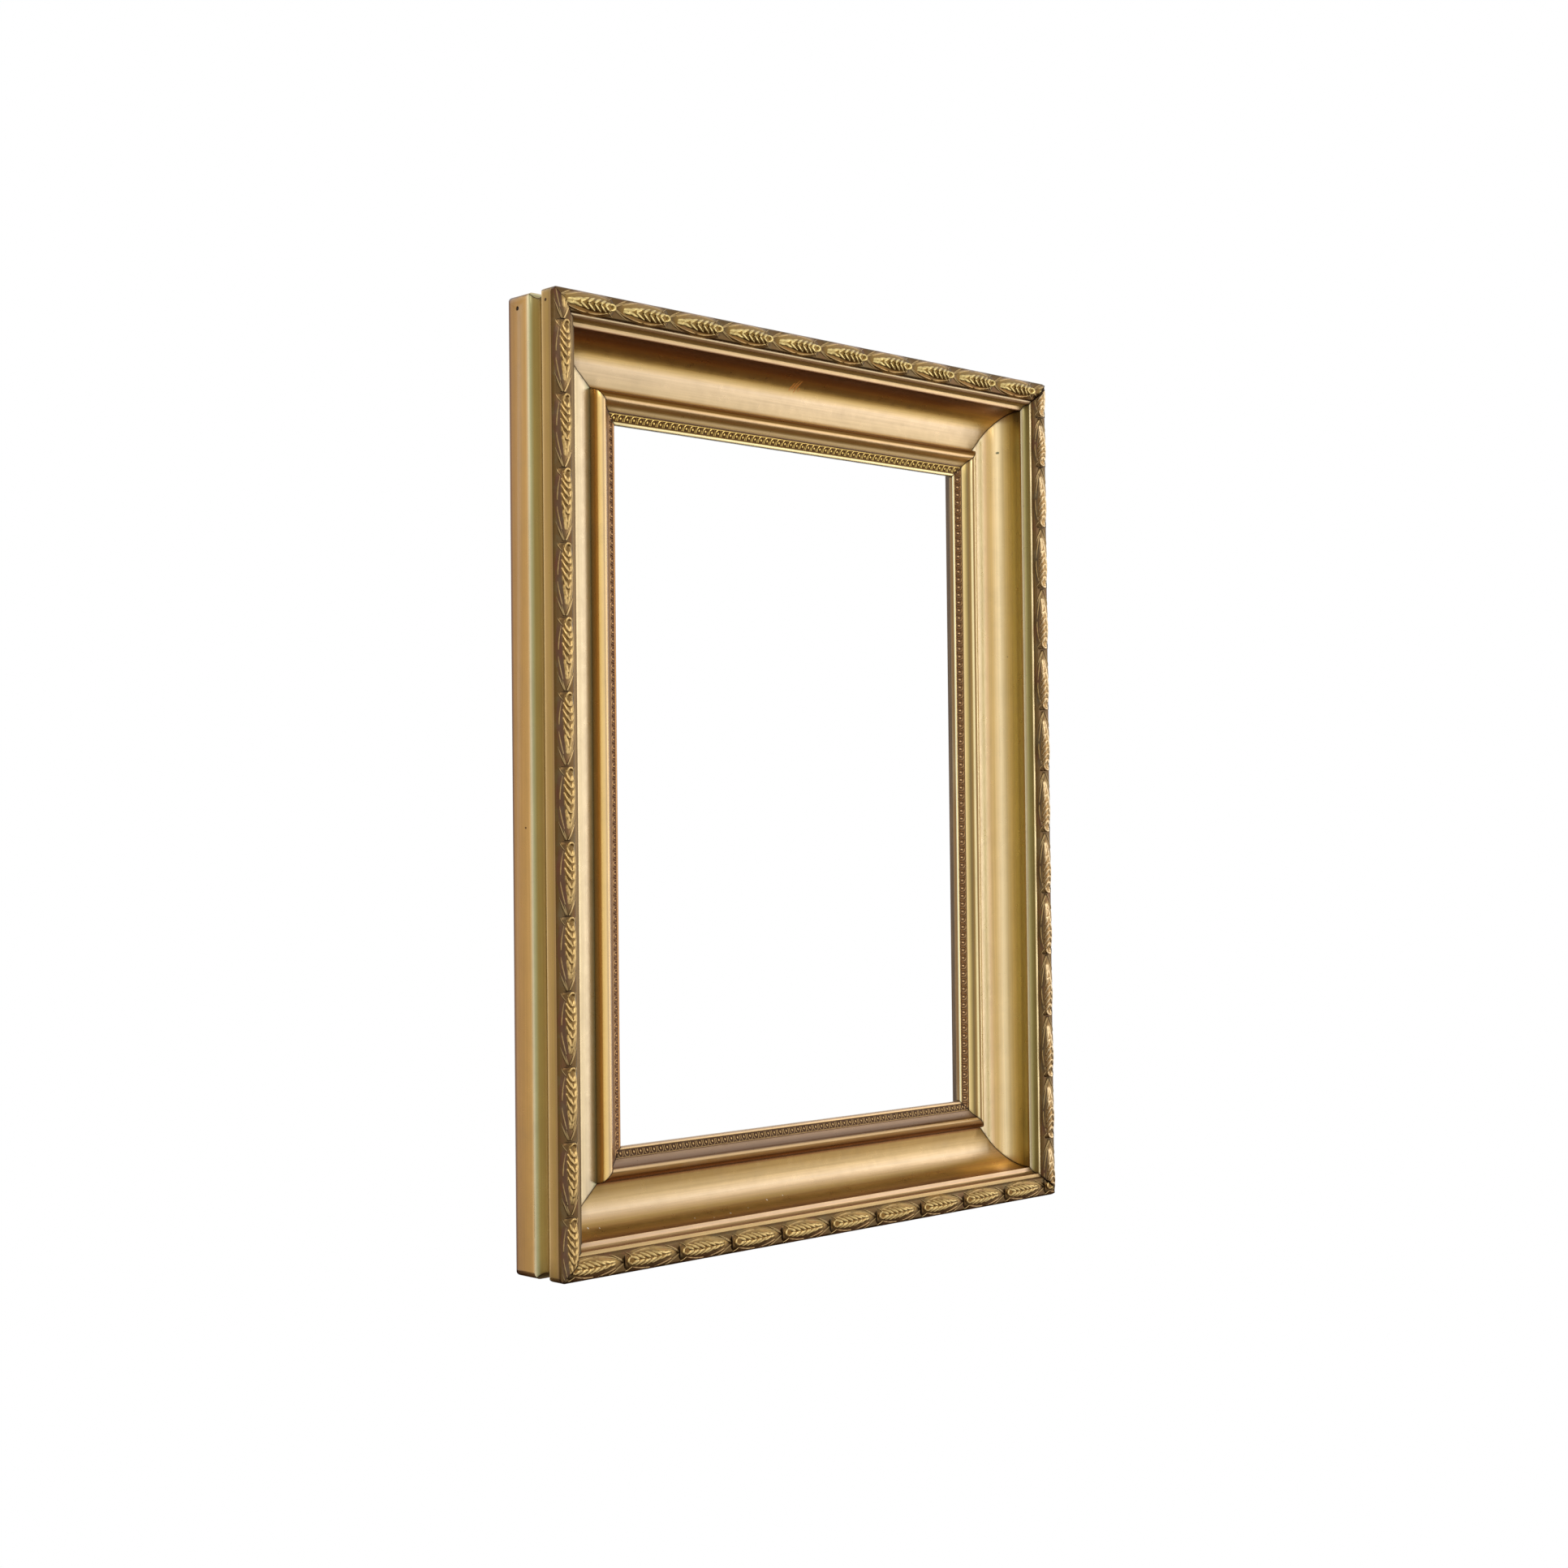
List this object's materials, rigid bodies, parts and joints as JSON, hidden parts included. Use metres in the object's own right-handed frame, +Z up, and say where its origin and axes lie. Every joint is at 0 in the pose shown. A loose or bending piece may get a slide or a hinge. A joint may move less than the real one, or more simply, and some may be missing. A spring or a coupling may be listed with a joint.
{
  "type": "picture frame",
  "caption": "Upright rectangular picture frame with a deep gilded cove, a round inner bead and a pressed wheat-ear border, open behind for a picture.",
  "frame": {"origin": "on the wall side of the top rail, half way along it and half way across its flat back, where the frame hangs", "axes": "+X to the right and +Z up as seen from the front, +Y towards the wall"},
  "size_m": [0.4636, 0.0476, 0.5936],
  "materials": {
    "gilded_cove": "satin gold leaf over gesso, worn",
    "gilded_band": "toned gold over gesso in front, bare softwood behind",
    "gilded_sight": "burnished gold leaf over gesso",
    "wheat_ornament": "gilded pressed composition with dark patina in the hollows",
    "egg_ornament": "gilded pressed composition, dark in the hollows",
    "key_wood": "bare hardwood",
    "nail_steel": "dark oxidised"
  },
  "bodies": {
    "root": {"base_rail_top": "gilded_band", "cove_rail_top": "gilded_cove", "sight_rail_top": "gilded_sight", "egg_strip_top": "egg_ornament", "wheat_strip_top": "wheat_ornament", "base_rail_right": "gilded_band", "cove_rail_right": "gilded_cove", "sight_rail_right": "gilded_sight", "egg_strip_right": "egg_ornament", "wheat_strip_right": "wheat_ornament", "base_rail_bottom": "gilded_band", "cove_rail_bottom": "gilded_cove", "sight_rail_bottom": "gilded_sight", "egg_strip_bottom": "egg_ornament", "wheat_strip_bottom": "wheat_ornament", "base_rail_left": "gilded_band", "cove_rail_left": "gilded_cove", "sight_rail_left": "gilded_sight", "egg_strip_left": "egg_ornament", "wheat_strip_left": "wheat_ornament", "corner_key_top_left": "key_wood", "corner_key_top_right": "key_wood", "corner_key_bottom_left": "key_wood", "corner_key_bottom_right": "key_wood", "band_nails": "nail_steel", "moulding_nails": "nail_steel"}
  },
  "joints": []
}
